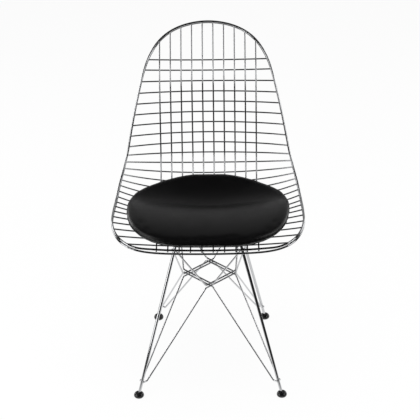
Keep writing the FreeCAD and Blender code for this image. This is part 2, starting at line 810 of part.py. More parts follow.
def make_screw(name, station, side):
    """Socket head screw, put in from below."""
    plates = size("shell_plate_thickness") + size("base_plate_thickness")
    aside = Vector(INBOARD[side] * size("screw_inboard"), size("screw_ahead"), 0)
    place = mount_placement(station, side, plates).multiply(Placement(aside, Rotation()))
    body = new_body(name, place)
    head = new_sketch(body, name + "_head_outline", "XY_Plane")
    add_circle(head, "screw_head_diameter")
    add_pad(body, head, name + "_head", "Sizes.screw_head_height", downward=True)
    shank = new_sketch(body, name + "_shank_outline", "XY_Plane")
    add_circle(shank, "screw_diameter")
    length = "Sizes.shell_plate_thickness + Sizes.base_plate_thickness + Sizes.screw_tip"
    add_pad(body, shank, name + "_shank", length)
    socket = new_sketch(body, name + "_socket_outline", "XY_Plane")
    socket.setExpression("AttachmentOffset.Base.z", "-Sizes.screw_head_height")
    reach = size("screw_socket_width") / 2.0
    hexagon = [Vector(reach * math.cos(math.radians(60 * step)), reach * math.sin(math.radians(60 * step)), 0)
               for step in range(6)]
    add_fixed(socket, lines_through(hexagon))
    cut = body.newObject("PartDesign::Pocket", name + "_socket")
    cut.Profile = socket
    cut.Reversed = True
    cut.setExpression("Length", "Sizes.screw_socket_depth")
    return body


SNUG_HOLE = "Sizes.screw_diameter"
LOOSE_HOLE = "Sizes.screw_diameter + 2 * Sizes.screw_hole_clearance"
shell_plates = []
base_plates = []
screws = []
for number, (station, side) in enumerate(MOUNTS, start=1):
    shell_plates.append(make_plate(f"shell_plate_{number}", station, side, 0.0,
                                   "shell_plate_thickness", SNUG_HOLE))
    base_plates.append(make_plate(f"base_plate_{number}", station, side, size("shell_plate_thickness"),
                                  "base_plate_thickness", LOOSE_HOLE))
    screws.append(make_screw(f"mount_screw_{number}", station, side))
group("shell_plates", shell_plates)
group("base_plates", base_plates)
group("mount_screws", screws)


# Feet
def make_ball_stud(name, end, side):
    """Ball at the foot of a leg, with the neck that joins it to the rod."""
    ball, direction = leg(end, side)
    sphere = doc.addObject("Part::Sphere", name + "_ball")
    sphere.setExpression("Radius", "Sizes.ball_diameter / 2")
    neck = doc.addObject("Part::Cylinder", name + "_neck")
    neck.setExpression("Radius", "Sizes.neck_diameter / 2")
    neck.setExpression("Height", "Sizes.neck_length")
    stud = doc.addObject("Part::MultiFuse", name)
    stud.Shapes = [sphere, neck]
    stud.Placement = CENTRED.multiply(Placement(ball, Rotation(Z_AXIS, direction)))
    return stud


def dome_arc(edge_radius, edge_height):
    """Arc in the glide's section, upright at its widest place and ending at an edge."""
    widest = size("glide_diameter") / 2.0
    height = size("glide_widest_height")
    rise = edge_height - height
    centre = (widest ** 2 - edge_radius ** 2 - rise ** 2) / (2.0 * (widest - edge_radius))
    half_turn = math.atan2(rise, edge_radius - centre) / 2.0
    radius = widest - centre
    middle_of_arc = Vector(centre + radius * math.cos(half_turn), height + radius * math.sin(half_turn), 0)
    return Part.Arc(Vector(widest, height, 0), middle_of_arc, Vector(edge_radius, edge_height, 0))


def make_glide(end, side):
    """Swivelling foot. Seen from it, X is the level direction in which the leg leans in."""
    name = f"glide_{end}_{side}"
    ball, direction = leg(end, side)
    level = Vector(direction.x, direction.y, 0).normalize()
    place = Placement(Vector(ball.x, ball.y, 0), Rotation(level, Z_AXIS.cross(level), Z_AXIS, "ZXY"))
    body = new_body(name, CENTRED.multiply(place))

    dome = new_sketch(body, name + "_section", "XZ_Plane")
    sole = size("glide_sole_diameter") / 2.0
    collar = size("glide_collar_diameter") / 2.0
    top = size("glide_height")
    add_fixed(dome, [
        Part.LineSegment(Vector(), Vector(sole, 0, 0)),
        dome_arc(sole, 0.0),
        dome_arc(collar, top),
        Part.LineSegment(Vector(collar, top, 0), Vector(0, top, 0)),
        Part.LineSegment(Vector(0, top, 0), Vector()),
    ])
    turn = body.newObject("PartDesign::Revolution", name + "_dome")
    turn.Profile = dome
    turn.ReferenceAxis = (dome, ["V_Axis"])
    turn.Angle = 360.0

    socket = new_sketch(body, name + "_socket_section", "XZ_Plane")
    reach = size("ball_diameter") / 2.0 + size("socket_clearance")
    low = Vector(0, ball.z - reach, 0)
    high = Vector(0, ball.z + reach, 0)
    add_fixed(socket, [Part.Arc(low, Vector(reach, ball.z, 0), high), Part.LineSegment(high, low)])
    hollow = body.newObject("PartDesign::Groove", name + "_socket")
    hollow.Profile = socket
    hollow.ReferenceAxis = (socket, ["V_Axis"])
    hollow.Angle = 360.0

    # The slot lets the neck lean, and tilt both ways from there.
    slot = new_sketch(body, name + "_slot_outline", "XZ_Plane")
    lean = math.acos(direction.z)
    tilt = math.radians(size("glide_tilt"))
    beside = size("neck_diameter") / 2.0 + size("glide_slot_clearance")
    far = 2.0 * size("glide_height")
    middle_of_ball = Vector(0, ball.z, 0)
    up_steep = Vector(math.sin(lean - tilt), math.cos(lean - tilt), 0)
    up_flat = Vector(math.sin(lean + tilt), math.cos(lean + tilt), 0)
    steep_side = middle_of_ball + Vector(-up_steep.y, up_steep.x, 0) * beside
    flat_side = middle_of_ball + Vector(up_flat.y, -up_flat.x, 0) * beside
    add_fixed(slot, lines_through([steep_side, steep_side + up_steep * far,
                                   flat_side + up_flat * far, flat_side]))
    cut = body.newObject("PartDesign::Pocket", name + "_slot")
    cut.Profile = slot
    cut.Midplane = True
    cut.setExpression("Length", "Sizes.neck_diameter + 2 * Sizes.glide_slot_clearance")
    return keep(body, name)


studs = []
for end in LEGS:
    for side in SIDES:
        studs.append(make_ball_stud(f"ball_stud_{end}_{side}", end, side))
        make_glide(end, side)
group("ball_studs", studs)

# Seat pad
PAD_BACK_REACH = size("pad_widest") - size("pad_start")
PAD_FRONT_REACH = size("pad_end") - size("pad_widest")
BASE_LIFT = LONG_LIFT + size("long_wire_diameter") / 2.0 + size("pad_seat_gap")
CUSHION_LIFT = BASE_LIFT + size("pad_base_thickness") + size("pad_base_gap")
EDGE_LIFT = CUSHION_LIFT + size("pad_edge_bottom")
HALF_TURN = 180.0


def pad_stations():
    """Stations of the pad's sections, closer together towards both ends."""
    last = count("pad_ribs") - 1
    span = HALF_TURN - 2.0 * size("pad_end_angle")
    stations = []
    for rib in range(last + 1):
        ahead = -math.cos(math.radians(size("pad_end_angle") + span * rib / last))
        stations.append(size("pad_widest") + ahead * (PAD_BACK_REACH if ahead < 0 else PAD_FRONT_REACH))
    return stations


def from_pad_end(station):
    """Distance to the pad's nearer end, along the shell."""
    return min(station - size("pad_start"), size("pad_end") - station)


def oval_half(station, inset):
    """Half width of the pad's oval, an inset inside its edge."""
    if station < size("pad_widest"):
        reach, squareness = PAD_BACK_REACH, size("pad_back_squareness")
    else:
        reach, squareness = PAD_FRONT_REACH, size("pad_front_squareness")
    along = min(1.0, abs(station - size("pad_widest")) / (reach - inset))
    return (size("pad_half_width") - inset) * (1.0 - along ** squareness) ** (1.0 / squareness)


def across_arc(station, half, lift, crown, backward):
    """Arc from one side of the pad to the other, raised at its middle by the crown."""
    ends = [shell_point(-half, station, lift), shell_point(half, station, lift)]
    if backward:
        ends.reverse()
    return Part.Arc(ends[0], shell_point(0.0, station, lift + crown), ends[1]).toShape()


def rounding_left(station, rounding):
    """How much of an edge rounding is left at a section, so that both ends are round too."""
    short = max(0.0, 1.0 - from_pad_end(station) / rounding)
    return rounding * math.sqrt(1.0 - short ** 2)


def cushion_section(station):
    """Section of the cushion: a flat underside, tightly rounded below and softly above."""
    half = oval_half(station, 0.0)
    below = rounding_left(station, size("pad_edge_bottom"))
    above = rounding_left(station, size("pad_edge_top"))
    crown = size("pad_crown") * half / size("pad_half_width")

    def side_arc(sign, rounding, first_turn, last_turn):
        """Quarter round, by turns of 0 at the widest place, -1 at the underside and 1 on top."""
        places = []
        for turn in (first_turn, (first_turn + last_turn) / 2.0, last_turn):
            angle = turn * math.pi / 2.0
            across = half - rounding * (1.0 - math.cos(angle))
            places.append(shell_point(sign * across, station, EDGE_LIFT + rounding * math.sin(angle)))
        return Part.Arc(*places).toShape()

    return Part.Wire([
        across_arc(station, half - below, EDGE_LIFT - below, 0.0, False),
        side_arc(1, below, -1.0, 0.0), side_arc(1, above, 0.0, 1.0),
        across_arc(station, half - above, EDGE_LIFT + above, crown, True),
        side_arc(-1, above, 1.0, 0.0), side_arc(-1, below, 0.0, -1.0)])


def base_section(station):
    half = oval_half(station, size("pad_base_inset"))
    low = BASE_LIFT
    high = BASE_LIFT + size("pad_base_thickness")

    def side_line(sign, first_lift, last_lift):
        ends = [shell_point(sign * half, station, lift) for lift in (first_lift, last_lift)]
        return Part.LineSegment(*ends).toShape()

    return Part.Wire([across_arc(station, half, low, 0.0, False), side_line(1, low, high),
                      across_arc(station, half, high, 0.0, True), side_line(-1, high, low)])


def loft_through(sections, name):
    profiles = []
    for number, section in enumerate(sections, start=1):
        profile = doc.addObject("Part::Feature", f"{name}_section_{number:02d}")
        profile.Shape = section
        profiles.append(profile)
    loft = doc.addObject("Part::Loft", name)
    loft.Sections = profiles
    loft.Solid = True
    loft.Ruled = True
    loft.Placement = CENTRED
    return keep(loft, name)


def make_clip(name, side, behind_alias):
    """Clip of the pad, astride a long wire between two cross wires."""
    across = to_side(Vector(-long_wire_across(count("clip_wire")), 0, 0), side).x
    station = wire_station(count(behind_alias)) + size("cross_wire_pitch") / 2.0
    turn = Rotation(X_AXIS, middle_point(station)[1] - LEVEL_ANGLE)
    body = new_body(name, CENTRED.multiply(Placement(shell_point(across, station, LONG_LIFT), turn)))
    section = new_sketch(body, name + "_section", "XZ_Plane")
    inner = size("long_wire_diameter") / 2.0 + size("clip_clearance")
    outer = inner + size("clip_wall")
    foot = -size("clip_grip")
    roof = BASE_LIFT - LONG_LIFT
    top = roof + size("clip_bite")
    add_fixed(section, lines_through([
        Vector(-outer, foot, 0), Vector(-outer, top, 0), Vector(outer, top, 0), Vector(outer, foot, 0),
        Vector(inner, foot, 0), Vector(inner, roof, 0), Vector(-inner, roof, 0), Vector(-inner, foot, 0)]))
    add_pad(body, section, name + "_channel", "Sizes.clip_length", both_ways=True)
    return body


stations = pad_stations()
loft_through([cushion_section(station) for station in stations], "pad_cushion")
base_stations = [station for station in stations if oval_half(station, size("pad_base_inset")) > 0]
loft_through([base_section(station) for station in base_stations], "pad_base")
group("pad_clips", [make_clip(f"pad_clip_{side}_{end}", side, f"clip_behind_{end}")
                    for side in SIDES for end in ("back", "front")])

# Writing
doc.recompute()
for item in doc.Objects:
    if "Invalid" in item.State or "Error" in item.State:
        raise RuntimeError(f"{item.Label} did not build")
for part in parts:
    if part.Shape.isNull() or not part.Shape.isValid():
        raise RuntimeError(f"{part.Label} is not a valid shape")
os.makedirs("parts", exist_ok=True)
for part in parts:
    part.Shape.exportStep(f"parts/{part.Label}.step")
print(f"{len(parts)} pieces")
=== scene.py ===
"""Looks of a wire mesh side chair with a leather seat pad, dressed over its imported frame."""

import math

import bmesh
import bpy
from bpy.props import FloatProperty, FloatVectorProperty, IntProperty, PointerProperty
from mathutils import Matrix, Vector


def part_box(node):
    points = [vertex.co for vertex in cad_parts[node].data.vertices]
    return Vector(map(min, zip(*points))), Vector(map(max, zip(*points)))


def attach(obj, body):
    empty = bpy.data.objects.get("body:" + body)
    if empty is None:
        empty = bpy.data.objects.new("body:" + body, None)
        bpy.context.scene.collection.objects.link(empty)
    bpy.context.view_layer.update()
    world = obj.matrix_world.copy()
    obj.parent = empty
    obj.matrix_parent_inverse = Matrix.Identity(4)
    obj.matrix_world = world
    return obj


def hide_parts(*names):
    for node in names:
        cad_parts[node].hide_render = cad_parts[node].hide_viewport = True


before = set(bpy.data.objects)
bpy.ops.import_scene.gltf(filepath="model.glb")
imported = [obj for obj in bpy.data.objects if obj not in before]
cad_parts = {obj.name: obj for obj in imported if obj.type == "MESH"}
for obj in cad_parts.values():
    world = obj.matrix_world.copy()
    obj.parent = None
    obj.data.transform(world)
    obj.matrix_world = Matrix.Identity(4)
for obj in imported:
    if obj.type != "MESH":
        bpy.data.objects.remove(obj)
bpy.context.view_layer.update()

bl_info = {
    "name": "Wire Mesh Chair",
    "version": (1, 0, 0),
    "blender": (4, 5, 0),
    "location": "View3D > Sidebar > Wire Chair",
    "description": "Finishes of a welded wire chair, its leather seat pad and its studio",
    "category": "Add Mesh",
}



def nodes_named(*starts):
    """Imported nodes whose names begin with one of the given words."""
    return sorted(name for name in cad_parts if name.startswith(starts))


SHELL_WIRES = nodes_named("cross_wire", "long_wire")
RIMS = nodes_named("rim_wire")
RODS = nodes_named("side_frame")
BRACES = nodes_named("lower_brace", "upper_brace")
PLATES = ["shell_plates", "base_plates"]
SCREWS = ["mount_screws", "ball_studs"]
GLIDES = nodes_named("glide_")

MERGE = 1e-6  # m, corners nearer than this are one corner
CONTACT = 0.0006  # m, surfaces nearer than this are welded
SPOT_SPREAD = 0.008  # m, contact points nearer than this belong to one weld
SAMPLE_STEP = 0.0015  # m, between the points at which a contact is looked for
SCRATCH_DEPTH = 0.0002  # m
GRAIN_DEPTH = 0.0004  # m
PORE_PAINTED_SHADE = 0.4  # share of the leather's colour that is left in its pores, as painted shade in the grain's crevices
SIM_STEPS = 20
SMOOTHING = 0.5  # share of the way that a pass of smoothing moves a corner
TOP_SIDE = 0.5  # least upward part of a normal on the pad's upper side
UNDERSIDE = -0.3  # most upward part of a normal on the pad's underside
HOLLOW_POWER = 1.5
WELT_POINTS = 72

# The wall and its fades, as parts of a ray's direction
WALL_TOP = (0.63, 0.73)
WALL_SIDES = (0.05, 0.45)
WALL_FOOT = (0.0, 0.12)
SWEEP_END = (0.7, 1.6)  # m behind the chair's middle, where the sweep turns into the wall
FLOOR_HALF_WIDTH = 9.0  # m
FLOOR_COLOUR = (0.93, 0.93, 0.93, 1.0)
WHITE = (1.0, 1.0, 1.0, 1.0)

MIDDLE = (0.0, 0.0, 0.4)  # m, the point that most lamps are turned to
LEFT_LEG = (-0.13, -0.20, 0.18)
# Each lamp's name, place, aim, width, height and power, and whether metal shows it
SOFTBOXES = (
    ("overhead_light", (0.0, -0.4, 3.0), MIDDLE, 3.0, 3.0, 80.0, False),
    ("leg_light", (-0.92, -0.66, 0.18), LEFT_LEG, 0.7, 0.34, 2.0, True),
    ("side_light_left", (-2.2, -0.92, 1.45), MIDDLE, 1.15, 1.6, 14.0, True),
    ("side_light_right", (2.2, -0.92, 1.45), MIDDLE, 1.15, 1.6, 14.0, True),
    ("edge_light_left", (-2.0, 1.15, 0.95), MIDDLE, 1.4, 1.1, 11.5, True),
    ("edge_light_right", (2.0, 1.15, 0.95), MIDDLE, 1.4, 1.1, 8.0, True),
)

PICTURE_WIDTH = 420.0  # pixels
SENSOR_WIDTH = 36.0  # mm


# Sizes and colours
class PlatingSettings(bpy.types.PropertyGroup):
    """Chrome plate on the wires and rods."""

    colour: FloatVectorProperty(
        name="Chrome", description="Colour of the plated steel",
        subtype="COLOR", size=3, min=0.0, max=1.0, default=(0.56, 0.565, 0.575))
    roughness: FloatProperty(
        name="Polish", description="Roughness of the polished plate",
        subtype="FACTOR", min=0.0, max=1.0, default=0.09)
    screw_colour: FloatVectorProperty(
        name="Screws", description="Colour of the zinc plated screws",
        subtype="COLOR", size=3, min=0.0, max=1.0, default=(0.40, 0.40, 0.41))
    bead_radius: FloatProperty(
        name="Weld bead", description="Radius of the weld beads on the bracing",
        unit="LENGTH", min=0.0005, max=0.01, default=0.0026)


class PadSettings(bpy.types.PropertyGroup):
    """Stuffed leather pad."""

    leather: FloatVectorProperty(
        name="Leather", description="Colour of the leather",
        subtype="COLOR", size=3, min=0.0, max=1.0, default=(0.0017, 0.0016, 0.0018))
    roughness: FloatProperty(
        name="Leather sheen", description="Roughness of the leather's finish",
        subtype="FACTOR", min=0.0, max=1.0, default=0.34)
    voxel: FloatProperty(
        name="Cloth grid", description="Edge of the grid that the cover is simulated on",
        unit="LENGTH", min=0.002, max=0.01, default=0.004)
    slack: FloatProperty(
        name="Start inside",
        description="How far inside its space the cover starts before it is filled",
        unit="LENGTH", min=0.0, max=0.01, default=0.0010)
    pressure: FloatProperty(
        name="Fill pressure", description="Pressure of the filling in the simulation",
        min=0.0, max=20.0, default=4.0)
    travel: FloatProperty(
        name="Travel cap", description="Farthest that a point of the cover may move",
        unit="LENGTH", min=0.0, max=0.03, default=0.005)
    edge_passes: IntProperty(
        name="Edge rounding", description="Passes of smoothing that round the edge of the foam",
        min=0, max=200, default=6)
    cover_passes: IntProperty(
        name="Cover evening", description="Passes of smoothing over the stuffed cover",
        min=0, max=50, default=5)
    hollow_depth: FloatProperty(
        name="Hollow", description="Depth of the sitting hollow",
        unit="LENGTH", min=0.0, max=0.01, default=0.0048)
    hollow_half_width: FloatProperty(
        name="Hollow width", description="Half the width of the sitting hollow",
        unit="LENGTH", default=0.11)
    hollow_reach: FloatProperty(
        name="Hollow reach", description="Reach of the sitting hollow ahead and behind",
        unit="LENGTH", default=0.06)
    hollow_ahead: FloatProperty(
        name="Hollow place", description="Middle of the sitting hollow ahead of the chair's middle",
        unit="LENGTH", default=0.04)
    proud: FloatProperty(
        name="Proud", description="How far the stuffed cover may stand outside its packed space",
        unit="LENGTH", min=0.0, max=0.01, default=0.0008)
    rim_band: FloatProperty(
        name="Rim band", description="Band along the pad's widest line that the welt follows",
        unit="LENGTH", min=0.0005, max=0.01, default=0.0015)
    welt_radius: FloatProperty(
        name="Welt", description="Radius of the sewn welt under the pad's edge",
        unit="LENGTH", min=0.0005, max=0.005, default=0.0014)
    welt_inset: FloatProperty(
        name="Welt inset", description="Welt's middle inside the pad's widest line",
        unit="LENGTH", min=0.0, max=0.01, default=0.0024)
    welt_drop: FloatProperty(
        name="Welt drop", description="Welt's middle below the pad's widest line",
        unit="LENGTH", min=0.0, max=0.01, default=0.0036)


class GlideSettings(bpy.types.PropertyGroup):
    """Moulded feet."""

    nylon: FloatVectorProperty(
        name="Nylon", description="Colour of the moulded feet",
        subtype="COLOR", size=3, min=0.0, max=1.0, default=(0.006, 0.006, 0.0065))
    roughness: FloatProperty(
        name="Nylon gloss", description="Roughness of the moulded feet",
        subtype="FACTOR", min=0.0, max=1.0, default=0.22)


class StudioSettings(bpy.types.PropertyGroup):
    """Camera and lights."""

    azimuth: FloatProperty(
        name="Azimuth", description="Camera's turn round the chair, from straight in front",
        subtype="ANGLE", default=math.radians(1.1))
    elevation: FloatProperty(
        name="Elevation", description="Camera's height above the level of its aim",
        subtype="ANGLE", default=math.radians(28.08))
    roll: FloatProperty(
        name="Roll", description="Camera's turn about its own axis",
        subtype="ANGLE", default=math.radians(-1.0))
    distance: FloatProperty(
        name="Distance", description="Camera to its aim", unit="LENGTH", default=3.946)
    aim_height: FloatProperty(
        name="Aim height", description="Height of the aim above the floor",
        unit="LENGTH", default=0.43105)
    aim_ahead: FloatProperty(
        name="Aim ahead", description="Aim in front of the middle of the chair",
        unit="LENGTH", default=0.00587)
    room_level: FloatProperty(
        name="Room", description="Brightness of the room overhead and in front", default=0.012)
    wall_level: FloatProperty(
        name="Wall", description="Brightness of the light that the wall behind sheds", default=0.6)
    wall_grey: FloatProperty(
        name="Wall higher up",
        description="Brightness of the wall above the sweep, as metal shows it",
        default=0.30)
    far_floor: FloatProperty(
        name="Far floor", description="Brightness of the floor past the sweep, as metal shows it",
        default=0.03)
    sweep_half_width: FloatProperty(
        name="Sweep", description="Half the width of the white sweep that the chair stands on",
        unit="LENGTH", default=0.42)
    sweep_ahead: FloatProperty(
        name="Sweep ahead", description="Front edge of the white sweep ahead of the chair's middle",
        unit="LENGTH", default=0.22)
    sweep_fade: FloatProperty(
        name="Sweep fade", description="Width over which the sweep's edge fades",
        unit="LENGTH", default=0.25)
    backdrop_share: FloatProperty(
        name="Backdrop share",
        description="How far straight views of the floor are lifted to white",
        subtype="FACTOR", min=0.0, max=1.0, default=0.94)
    focal_pixels: FloatProperty(
        name="Focal length in pixels", description="Focal length on a picture 420 pixels wide",
        default=1541.45)
    offset_right: FloatProperty(
        name="Offset right", description="Aim right of the picture's middle, in pixels",
        default=-1.25)
    offset_down: FloatProperty(
        name="Offset down", description="Aim below the picture's middle, in pixels",
        default=-2.98)


# Shader node helpers
def add_node(tree, kind, **values):
    """Node with its values set: a key that starts with set_ is a property, another is an input."""
    node = tree.nodes.new(kind)
    for key, value in values.items():
        if key.startswith("set_"):
            setattr(node, key.removeprefix("set_"), value)
        else:
            node.inputs[key.replace("_", " ")].default_value = value
    return node


def new_material(name):
    """Material, its node tree and its shader."""
    material = bpy.data.materials.new(name)
    material.use_nodes = True
    tree = material.node_tree
    shader = tree.nodes["Principled BSDF"]
    return material, tree, shader


def new_group(name, inputs, outputs):
    """Node group with named sockets; an input is a name, a socket type and a default."""
    group = bpy.data.node_groups.new(name, "ShaderNodeTree")
    for socket_name, kind, default in inputs:
        socket = group.interface.new_socket(socket_name, in_out="INPUT", socket_type=kind)
        if default is not None:
            socket.default_value = default
    for socket_name, kind in outputs:
        group.interface.new_socket(socket_name, in_out="OUTPUT", socket_type=kind)
    return group, group.nodes.new("NodeGroupInput"), group.nodes.new("NodeGroupOutput")


def place_group(tree, group, **values):
    """Node of a group, with the given inputs set."""
    node = tree.nodes.new("ShaderNodeGroup")
    node.node_tree = group
    for key, value in values.items():
        node.inputs[key.replace("_", " ")].default_value = value
    return node


def ramp(tree, source, low, high):
    """Stretches a value between two limits to 0 and 1."""
    node = add_node(tree, "ShaderNodeMapRange")
    node.inputs["From Min"].default_value = low
    node.inputs["From Max"].default_value = high
    tree.links.new(source, node.inputs["Value"])
    return node.outputs["Result"]


def handling_wear_group():
    """Cloudy wiping marks as a roughness, and fine scratches as a height."""
    group, given, made = new_group(
        "handling wear",
        [("Vector", "NodeSocketVector", None), ("Roughness", "NodeSocketFloat", 0.1),
         ("Cloud Size", "NodeSocketFloat", 30.0), ("Cloud Depth", "NodeSocketFloat", 0.05),
         ("Grain Size", "NodeSocketFloat", 900.0)],
        [("Roughness", "NodeSocketFloat"), ("Height", "NodeSocketFloat")])
    clouds = add_node(group, "ShaderNodeTexNoise", Detail=4.0, Roughness=0.6)
    group.links.new(given.outputs["Vector"], clouds.inputs["Vector"])
    group.links.new(given.outputs["Cloud Size"], clouds.inputs["Scale"])
    deeper = add_node(group, "ShaderNodeMath", set_operation="MULTIPLY")
    group.links.new(ramp(group, clouds.outputs["Fac"], 0.35, 0.7), deeper.inputs[0])
    group.links.new(given.outputs["Cloud Depth"], deeper.inputs[1])
    total = add_node(group, "ShaderNodeMath", set_operation="ADD", set_use_clamp=True)
    group.links.new(given.outputs["Roughness"], total.inputs[0])
    group.links.new(deeper.outputs[0], total.inputs[1])
    group.links.new(total.outputs[0], made.inputs["Roughness"])
    grain = add_node(group, "ShaderNodeTexNoise", Detail=2.0)
    group.links.new(given.outputs["Vector"], grain.inputs["Vector"])
    group.links.new(given.outputs["Grain Size"], grain.inputs["Scale"])
    group.links.new(grain.outputs["Fac"], made.inputs["Height"])
    return group


def leather_grain_group():
    """Pebbled grain with fine creases, as a height, and the pores as a mask for painted shade."""
    group, given, made = new_group(
        "leather grain",
        [("Vector", "NodeSocketVector", None), ("Pebble Size", "NodeSocketFloat", 520.0),
         ("Crease Size", "NodeSocketFloat", 60.0), ("Crease Share", "NodeSocketFloat", 0.35)],
        [("Height", "NodeSocketFloat"), ("Painted Pore Shade", "NodeSocketFloat")])
    bend = add_node(group, "ShaderNodeTexNoise", Scale=140.0, Detail=2.0)
    group.links.new(given.outputs["Vector"], bend.inputs["Vector"])
    shift = add_node(group, "ShaderNodeVectorMath", set_operation="SCALE")
    shift.inputs["Scale"].default_value = 0.002
    group.links.new(bend.outputs["Color"], shift.inputs[0])
    bent = add_node(group, "ShaderNodeVectorMath", set_operation="ADD")
    group.links.new(given.outputs["Vector"], bent.inputs[0])
    group.links.new(shift.outputs["Vector"], bent.inputs[1])
    pebbles = add_node(group, "ShaderNodeTexVoronoi", set_feature="DISTANCE_TO_EDGE")
    group.links.new(bent.outputs["Vector"], pebbles.inputs["Vector"])
    group.links.new(given.outputs["Pebble Size"], pebbles.inputs["Scale"])
    domes = ramp(group, pebbles.outputs["Distance"], 0.0, 0.16)
    creases = add_node(group, "ShaderNodeTexNoise", Detail=6.0, Roughness=0.62)
    group.links.new(given.outputs["Vector"], creases.inputs["Vector"])
    group.links.new(given.outputs["Crease Size"], creases.inputs["Scale"])
    mixed = add_node(group, "ShaderNodeMix")
    group.links.new(given.outputs["Crease Share"], mixed.inputs["Factor"])
    group.links.new(domes, mixed.inputs["A"])
    group.links.new(creases.outputs["Fac"], mixed.inputs["B"])
    group.links.new(mixed.outputs["Result"], made.inputs["Height"])
    # mask of the painted shade in the pores, where the pebbles meet
    group.links.new(ramp(group, pebbles.outputs["Distance"], 0.05, 0.0), made.inputs["Painted Pore Shade"])
    return group


def shared_group(name, build):
    return bpy.data.node_groups.get(name) or build()


def object_coordinates(tree):
    return tree.nodes.new("ShaderNodeTexCoord").outputs["Object"]


def link_bump(tree, shader, height, strength, distance):
    bump = add_node(tree, "ShaderNodeBump", Strength=strength, Distance=distance)
    tree.links.new(height, bump.inputs["Height"])
    tree.links.new(bump.outputs["Normal"], shader.inputs["Normal"])


def worn_material(name, colour, roughness, *, cloud_depth, metallic, grain, bump):
    """Hard surface with wiping marks in its polish; grain is its scale and bump its strength."""
    material, tree, shader = new_material(name)
    shader.inputs["Base Color"].default_value = (*colour, 1.0)
    shader.inputs["Metallic"].default_value = metallic
    wear = place_group(tree, shared_group("handling wear", handling_wear_group),
                       Roughness=roughness, Cloud_Depth=cloud_depth, Grain_Size=grain)
    tree.links.new(object_coordinates(tree), wear.inputs["Vector"])
    tree.links.new(wear.outputs["Roughness"], shader.inputs["Roughness"])
    link_bump(tree, shader, wear.outputs["Height"], bump, SCRATCH_DEPTH)
    return material


def leather_material(settings):
    """Grained leather with painted shade in its pores, which are a little darker."""
    material, tree, shader = new_material("black leather")
    coordinates = object_coordinates(tree)
    grain = place_group(tree, shared_group("leather grain", leather_grain_group))
    wear = place_group(tree, shared_group("handling wear", handling_wear_group),
                       Roughness=settings.roughness, Cloud_Size=9.0, Cloud_Depth=0.10)
    for group in (grain, wear):
        tree.links.new(coordinates, group.inputs["Vector"])
    # painted shade: the leather's colour is darkened in the pores between the pebbles
    leather_and_pore_shade = add_node(tree, "ShaderNodeMix", set_data_type="RGBA")
    leather_and_pore_shade.inputs["A"].default_value = (*settings.leather, 1.0)
    pores = [channel * PORE_PAINTED_SHADE for channel in settings.leather]
    leather_and_pore_shade.inputs["B"].default_value = (*pores, 1.0)
    tree.links.new(grain.outputs["Painted Pore Shade"], leather_and_pore_shade.inputs["Factor"])
    tree.links.new(leather_and_pore_shade.outputs["Result"], shader.inputs["Base Color"])
    tree.links.new(wear.outputs["Roughness"], shader.inputs["Roughness"])
    link_bump(tree, shader, grain.outputs["Height"], 0.22, GRAIN_DEPTH)
    return material


def assign(node_name, material):
    """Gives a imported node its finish, and leaves its mesh alone."""
    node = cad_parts[node_name]
    node.data.materials.clear()
    node.data.materials.append(material)


def finish_smooth(piece):
    for face in piece.data.polygons:
        face.use_smooth = True


# Wires, rods and feet
class CHAIR_OT_plate_wires(bpy.types.Operator):
    """Give the wires, rims, rods, plates and screws their plated finish"""

    bl_idname = "chair.plate_wires"
    bl_label = "Plate wires and rods"

    def execute(self, context):
        settings = context.scene.chair_plating
        wire = worn_material("chrome wire", settings.colour, settings.roughness,
                             cloud_depth=0.05, metallic=1.0, grain=700.0, bump=0.05)
        rod = worn_material("chrome rod", settings.colour, settings.roughness,
                            cloud_depth=0.04, metallic=1.0, grain=500.0, bump=0.04)
        screw = worn_material("zinc screw", settings.screw_colour, 0.30,
                              cloud_depth=0.12, metallic=1.0, grain=1200.0, bump=0.10)
        for name in SHELL_WIRES + RIMS:
            assign(name, wire)
        for name in RODS + BRACES + PLATES:
            assign(name, rod)
        for name in SCREWS:
            assign(name, screw)
        return {"FINISHED"}


def surface_samples(mesh, low, high):
    """Points along the mesh's edges in the box between two corners, close enough to find a weld."""
    for edge in mesh.edges:
        start, end = (vertex.co for vertex in edge.verts)
        apart = any(max(a, b) < least or min(a, b) > most
                    for a, b, least, most in zip(start, end, low, high))
        if apart:
            continue
        steps = max(1, math.ceil(edge.calc_length() / SAMPLE_STEP))
        for step in range(steps):
            yield start.lerp(end, step / steps)


def average(points):
    return sum(points, Vector()) / len(points)


def contact_points(first, second):
    """Middle of each place where a mesh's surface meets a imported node."""
    points = []
    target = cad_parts[second]
    low, high = ([value + side * CONTACT for value in corner]
                 for side, corner in zip((-1.0, 1.0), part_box(second)))
    for sample in surface_samples(first, low, high):
        found, place, _normal, _face = target.closest_point_on_mesh(sample, distance=CONTACT)
        if found:
            points.append(place.copy())
    spots = []
    for point in points:
        near = [spot for spot in spots if (average(spot) - point).length < SPOT_SPREAD]
        if near:
            near[0].append(point)
        else:
            spots.append([point])
    return [average(spot) for spot in spots]


class CHAIR_OT_weld_beads(bpy.types.Operator):
    """Add the weld beads where the bracing wires meet the rods and each other"""

    bl_idname = "chair.weld_beads"
    bl_label = "Weld bracing"

    def execute(self, context):
        settings = context.scene.chair_plating
        spots = []
        for index, brace in enumerate(BRACES):
            edges = bmesh.new()
            edges.from_mesh(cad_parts[brace].data)
            bmesh.ops.remove_doubles(edges, verts=edges.verts, dist=MERGE)
            for other in RODS + BRACES[index + 1:]:
                spots.extend(contact_points(edges, other))
            edges.free()
        if not spots:
            raise RuntimeError("the bracing touches nothing")
        mesh = bmesh.new()
        for spot in spots:
            made = bmesh.ops.create_icosphere(mesh, subdivisions=2, radius=settings.bead_radius)
            bmesh.ops.translate(mesh, verts=made["verts"], vec=spot)
        data = bpy.data.meshes.new("weld_beads")
        mesh.to_mesh(data)
        mesh.free()
        beads = bpy.data.objects.new("weld_beads", data)
        context.scene.collection.objects.link(beads)
        finish_smooth(beads)
        data.materials.append(worn_material("plated weld", settings.colour, 0.22,
                                            cloud_depth=0.10, metallic=1.0, grain=900.0, bump=0.3))
        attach(beads, "frame")
        return {"FINISHED"}


